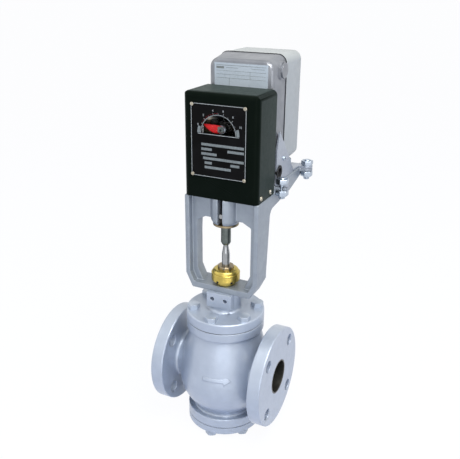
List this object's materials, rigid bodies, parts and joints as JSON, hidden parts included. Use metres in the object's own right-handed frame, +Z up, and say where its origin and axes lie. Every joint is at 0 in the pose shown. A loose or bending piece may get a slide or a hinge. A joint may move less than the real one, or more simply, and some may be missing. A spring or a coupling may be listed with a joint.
{
  "type": "motorised valve",
  "caption": "Flanged globe valve with a cast yoke, a dial under a black cover and a control motor that lifts the stem through a rack and pinion",
  "frame": {"origin": "centre of the inlet flange face", "axes": "+X along the pipe from inlet to outlet, +Y from the dial at the front to the motor at the back, +Z up the valve stem"},
  "size_m": [0.182, 0.2433, 0.5747],
  "materials": {
    "silver_paint": "satin",
    "yoke_paint": "satin",
    "cover_black": "fine texture",
    "dial_black": "satin",
    "pointer_red": "gloss",
    "steel": "turned",
    "dark_steel": "turned",
    "zinc_plate": "zinc plated",
    "brass": "turned",
    "bronze": "turned",
    "die_cast": "painted die-cast",
    "pale_plastic": "moulded",
    "label_white": "satin film",
    "cam_plastic": "moulded",
    "black_rubber": "matte",
    "switch_black": "moulded",
    "packing": "matte",
    "clear_pane": "clear"
  },
  "bodies": {
    "root": {"valve_body": "silver_paint", "seat_ring": "steel", "bottom_cover": "silver_paint", "bottom_gasket": "packing", "bottom_bolts": "silver_paint", "lower_guide_bush": "bronze", "bonnet": "silver_paint", "bonnet_gasket": "packing", "bonnet_bolts": "silver_paint", "upper_guide_bush": "bronze", "packing_spring": "steel", "packing_washer": "steel", "packing_rings": "packing", "packing_follower": "bronze", "clamp_nut": "brass", "packing_nut": "brass", "wiper_ring": "bronze", "yoke": "yoke_paint", "boss_ring": "bronze", "rod_bushes": "bronze", "linkage_cover": "cover_black", "cover_screws": "brass", "dial_plate": "dial_black", "dial_screws": "brass", "dial_window": "clear_pane", "bearing_bracket": "zinc_plate", "bracket_screws": "zinc_plate", "shaft_bearing": "bronze", "rack_guide": "bronze", "mounting_plate": "zinc_plate", "mounting_studs": "zinc_plate", "mounting_nuts": "zinc_plate", "mounting_washers": "zinc_plate", "motor_spacers": "zinc_plate", "gusset_screws": "zinc_plate", "cable_grommet": "black_rubber", "front_housing": "die_cast", "rear_cover": "pale_plastic", "conduit_plug": "die_cast", "label_plate": "label_white", "gear_plate": "zinc_plate", "gearbox": "zinc_plate", "drive_motor": "steel", "terminal_block": "switch_black", "limit_switches": "switch_black", "housing_screws": "zinc_plate"},
    "lifter": {"valve_plug": "steel", "plug_pin": "steel", "valve_stem": "steel", "lifter_rod": "dark_steel", "guide_pin": "brass", "crosshead": "zinc_plate", "crosshead_nut": "zinc_plate", "rack": "steel", "rack_screw": "dark_steel"},
    "spindle": {"output_shaft": "steel", "pinion": "steel", "pointer_hub": "dark_steel", "pointer": "pointer_red", "switch_cams": "cam_plastic"}
  },
  "joints": [
    {"name": "stem_lift", "type": "slide", "parent": "root", "child": "lifter", "axis": [0, 0, 1], "range_m": [0, 0.0279]},
    {"name": "spindle_turn", "type": "hinge", "parent": "root", "child": "spindle", "pos_m": [0.0885, 0, 0.378], "axis": [0, 1, 0], "range_deg": [0, 160]}
  ],
  "couplings": [
    {"joint": "spindle_turn", "follows": "stem_lift", "rad_per_m": 100}
  ]
}
